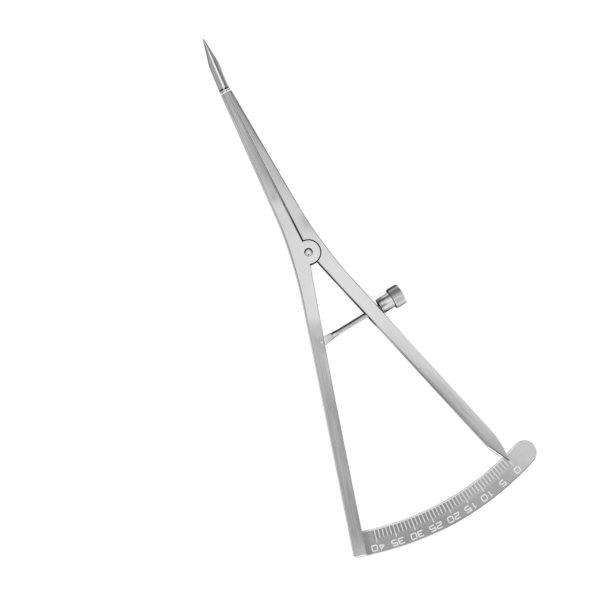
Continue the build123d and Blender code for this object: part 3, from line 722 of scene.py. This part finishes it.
def add_piece(name, mesh_maker, material, body):
    """A new closed piece that rides on a body."""
    bm = bmesh.new()
    mesh_maker(bm)
    bmesh.ops.recalc_face_normals(bm, faces=bm.faces)
    obj = add_object(name, bm, material)
    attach(obj, body)
    return obj


def join_rings(bm, rings, closed=False):
    """Quads between rings of vertices, and a face over each end unless the last joins the first."""
    pairs = list(zip(rings, rings[1:]))
    if closed:
        pairs.append((rings[-1], rings[0]))
    for a, b in pairs:
        count = len(a)
        for k in range(count):
            bm.faces.new((a[k], a[(k + 1) % count], b[(k + 1) % count], b[k]))
    if not closed:
        bm.faces.new(rings[0])
        bm.faces.new(rings[-1])


def smooth_by_angle(obj, degrees):
    """Smooth shading, with sharp edges where the faces meet at more than this angle."""
    obj.data.shade_smooth()
    obj.data.set_sharp_from_angle(angle=math.radians(degrees))


# From the screw's own frame, with its axis on X, to the row frame, in metres
SCREW_TURN = Matrix.Rotation(math.radians(SCREW_REST_ANGLE), 4, "Z")
SCREW_MATRIX = Matrix.Translation(PIN_POINT * MM) @ SCREW_TURN


def thread_cut(phase):
    """Depth of the thread at a share of its pitch: flat crest, sloping flanks and flat root."""
    share = abs((phase % 1.0) - 0.5) * 2
    return THREAD_DEPTH * min(max((share - THREAD_CREST) / THREAD_FLANK, 0.0), 1.0)


def threaded_rod(bm):
    """Rod with a cut thread, as rings of points whose radius follows a left-hand helix."""
    length = SCREW_LENGTH - THREAD_START
    count = int(length / THREAD_PITCH * RINGS_PER_PITCH)
    rings = []
    for i in range(count + 1):
        from_start = length * i / count
        x = THREAD_START + from_start
        full_depth = min(1.0, max(0.0, (from_start - RUN_OUT_START) / RUN_OUT_LENGTH))
        chamfer = SCREW_RADIUS - max(0.0, THREAD_CHAMFER - (SCREW_LENGTH - x))
        ring = []
        for k in range(SEGMENTS_AROUND_THREAD):
            share = k / SEGMENTS_AROUND_THREAD
            angle = 2 * math.pi * share
            radius = min(SCREW_RADIUS - thread_cut(x / THREAD_PITCH - share) * full_depth, chamfer)
            point = Vector((x, radius * math.sin(angle), radius * math.cos(angle))) * MM
            ring.append(bm.verts.new(SCREW_MATRIX @ point))
        rings.append(ring)
    join_rings(bm, rings)


def screw_eye(bm):
    """The flattened end of the CAD screw, cut off square where the thread takes over."""
    bm.from_mesh(NODES["adjusting_screw"].data)
    bmesh.ops.remove_doubles(bm, verts=bm.verts, dist=1e-7)
    axis = SCREW_MATRIX.to_3x3() @ Vector((1, 0, 0))
    place = SCREW_MATRIX @ Vector((EYE_CUT * MM, 0, 0))
    geometry = list(bm.verts) + list(bm.edges) + list(bm.faces)
    bmesh.ops.bisect_plane(bm, geom=geometry, plane_co=place, plane_no=axis, clear_outer=True)
    bmesh.ops.holes_fill(bm, edges=[edge for edge in bm.edges if edge.is_boundary])


ROD_MATERIAL = MATERIALS["adjusting_screw"]
eye = add_piece("screw_eye", screw_eye, ROD_MATERIAL, "adjusting_screw")
smooth_by_angle(eye, 30)
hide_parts("adjusting_screw")
rod = add_piece("screw_thread", threaded_rod, ROD_MATERIAL, "adjusting_screw")
smooth_by_angle(rod, 50)


def polar(angle_degrees, radius, height):
    """Point in metres, from its direction at the pivot, and its distance and height in mm."""
    angle = math.radians(angle_degrees)
    return Vector((radius * math.sin(angle), -radius * math.cos(angle), height)) * MM


def mark_angle(opening):
    """Direction of the pointer for an opening of the tips in millimetres."""
    return ZERO_MARK_ANGLE - math.degrees(2 * math.asin(opening / (2 * POINT_RADIUS)))


def add_stroke(bm, points, rise, closed=False):
    """A flat line that follows the points, with mitred corners, a hair above the plate."""
    count = len(points)
    rings = []
    for i, point in enumerate(points):
        before = (point - points[i - 1]).normalized() if closed or i > 0 else None
        after = (points[(i + 1) % count] - point).normalized() if closed or i < count - 1 else None
        before = before or after
        after = after or before
        tangent = (before + after).normalized()
        across = Vector((-tangent.y, tangent.x, 0))
        reach = MARK_WIDTH / 2 * MM / max(0.5, across.dot(Vector((-before.y, before.x, 0))))
        corners = []
        for side, height in ((1, rise), (-1, rise), (-1, -MARK_DEPTH), (1, -MARK_DEPTH)):
            lift = Vector((0, 0, height * MM))
            corners.append(bm.verts.new(point + across * side * reach + lift))
        rings.append(corners)
    join_rings(bm, rings, closed)


def tick_marks(bm):
    """A line for every millimetre between the tips, longer where a numeral stands."""
    for opening in range(LAST_MARK + 1):
        stop = MARK_END if opening % MARKS_PER_NUMERAL else LONG_MARK_END
        ends = [polar(mark_angle(opening), SCALE_INNER_RADIUS + end, SCALE_TOP)
                for end in (MARK_START, stop)]
        add_stroke(bm, ends, MARK_HEIGHT)


def corner(x, y, dx, dy, radius=0.22, flip=False):
    """Points around a rounded corner at (x, y), from the side dx to the side dy."""
    steps = 4
    points = []
    for i in range(steps + 1):
        turn = math.pi / 2 * i / steps
        points.append((x + dx * radius * (1 - math.sin(turn)),
                       y + dy * radius * (1 - math.cos(turn))))
    return list(reversed(points)) if flip else points


# Single-line digits in a box of width 1 and height 1, as lists of strokes
DIGITS = {
    "0": [corner(0, 0, 1, 1) + corner(0, 1, 1, -1, flip=True) + corner(1, 1, -1, -1)
          + corner(1, 0, -1, 1, flip=True)],
    "1": [[(0.28, 0.78), (0.55, 1.0), (0.55, 0.0)]],
    "2": [[(0.0, 1.0)] + corner(1, 1, -1, -1) + corner(1, 0.52, -1, 1, flip=True)
          + corner(0, 0.48, 1, -1) + [(0.0, 0.0), (1.0, 0.0)]],
    "3": [[(0.0, 1.0)] + corner(1, 1, -1, -1) + corner(1, 0.5, -1, 1, 0.16, flip=True)
          + [(0.3, 0.5)],
          [(0.8, 0.5)] + corner(1, 0.5, -1, -1, 0.16) + corner(1, 0, -1, 1, flip=True)
          + [(0.0, 0.0)]],
    "4": [[(0.72, 0.0), (0.72, 1.0), (0.0, 0.30)], [(0.0, 0.30), (1.0, 0.30)]],
    "5": [[(0.95, 1.0), (0.0, 1.0), (0.0, 0.56)] + corner(1, 0.56, -1, -1)
          + corner(1, 0, -1, 1, flip=True) + [(0.0, 0.0)]],
}


def numerals(bm):
    """Numbers every 5 mm, with their tops pointing away from the pivot."""
    for opening in range(0, LAST_MARK + 1, MARKS_PER_NUMERAL):
        text = str(opening)
        for place, digit in enumerate(text):
            shift = (place - (len(text) - 1) / 2) * DIGIT_PITCH
            for step, stroke in enumerate(DIGITS[digit]):
                points = []
                for x, y in stroke:
                    sideways = shift + (x - 0.5) * DIGIT_WIDTH
                    radius = NUMERAL_RADIUS + (y - 0.5) * DIGIT_HEIGHT
                    turn = math.degrees(sideways / NUMERAL_RADIUS)
                    points.append(polar(mark_angle(opening) - turn, radius, SCALE_TOP))
                add_stroke(bm, points, MARK_HEIGHT + STROKE_STEP * step, closed=digit == "0")


MARK_MATERIAL = mark_finish()
add_piece("scale_ticks", tick_marks, MARK_MATERIAL, "scale_arm")
add_piece("scale_numerals", numerals, MARK_MATERIAL, "scale_arm")


# Floor, light and camera

def table_white():
    """White paper that glows where the camera sees it, directly or in the steel."""
    material, n = new_material("table_white")
    path = n.add("ShaderNodeLightPath")
    seen = n.math("MAXIMUM", path.outputs["Is Camera Ray"], path.outputs["Is Glossy Ray"])
    seen = n.math("MAXIMUM", seen, path.outputs["Is Transmission Ray"])
    tone = n.total(n.times(n.noise(n.coordinates("Object"), 40.0), 0.02), FLOOR_TONE)
    paper = n.add("ShaderNodeBsdfDiffuse", Color=n.grey(tone))
    glow = n.add("ShaderNodeEmission", Strength=n.times(seen, FLOOR_GLOW))
    both = n.tree.nodes.new("ShaderNodeAddShader")
    n.put(both.inputs[0], paper.outputs[0])
    n.put(both.inputs[1], glow.outputs[0])
    n.add("ShaderNodeOutputMaterial", Surface=both.outputs[0])
    return material


def make_floor():
    bm = bmesh.new()
    bmesh.ops.create_grid(bm, x_segments=1, y_segments=1, size=FLOOR_REACH)
    floor = add_object("table_top", bm, table_white())
    floor.location.z = FLOOR_HEIGHT * MM


def make_world():
    """A soft overhead light, with a bright near side and a darker far side."""
    world = bpy.data.worlds.new("studio")
    world.use_nodes = True
    SCENE.world = world
    n = Nodes(world.node_tree)
    _, y, z = n.split(n.coordinates("Generated"))
    far = n.math("MAXIMUM", y, 0.0)
    near = n.less(far, y)
    side = n.total(SKY_SIDE, n.times(far, SKY_FAR), n.times(near, SKY_NEAR))
    level = n.blend(side, SKY_OVERHEAD, n.remap(z, 0.55, 0.93))
    studio = n.add("ShaderNodeBackground", Color=(1, 1, 1, 1), Strength=level)
    n.add("ShaderNodeOutputWorld", Surface=studio.outputs[0])


def softbox(name, place, target, width, height, power):
    """A rectangular area lamp that points at a target. Places are in millimetres."""
    data = bpy.data.lights.new(name, "AREA")
    data.shape = "RECTANGLE"
    data.size = width * MM
    data.size_y = height * MM
    data.energy = power
    lamp = bpy.data.objects.new(name, data)
    SCENE.collection.objects.link(lamp)
    lamp.location = Vector(place) * MM
    lamp.rotation_euler = (Vector(target) - Vector(place)).to_track_quat("-Z", "Y").to_euler()


def make_camera():
    roll = Vector((math.sin(CAMERA_ROLL), math.cos(CAMERA_ROLL), 0.0))
    right = roll.cross(CAMERA_DIRECTION).normalized()
    upward = CAMERA_DIRECTION.cross(right)
    data = bpy.data.cameras.new("photo_camera")
    data.sensor_fit = "HORIZONTAL"
    data.angle = 2 * math.atan(PHOTO_WIDTH / 2 / (PIXELS_PER_MM * CAMERA_DISTANCE))
    data.clip_start = 0.01
    data.clip_end = 20.0
    camera = bpy.data.objects.new("photo_camera", data)
    SCENE.collection.objects.link(camera)
    turn = Matrix((right, upward, CAMERA_DIRECTION)).transposed().to_4x4()
    place = (CAMERA_TARGET + CAMERA_DIRECTION * CAMERA_DISTANCE) * MM
    camera.matrix_world = Matrix.Translation(place) @ turn
    SCENE.camera = camera


make_floor()
make_world()
softbox("key_softbox", place=(58, -14, 330), target=(8, -10, 0), width=120, height=100, power=0.022)
make_camera()
SCENE.view_settings.view_transform = "Standard"
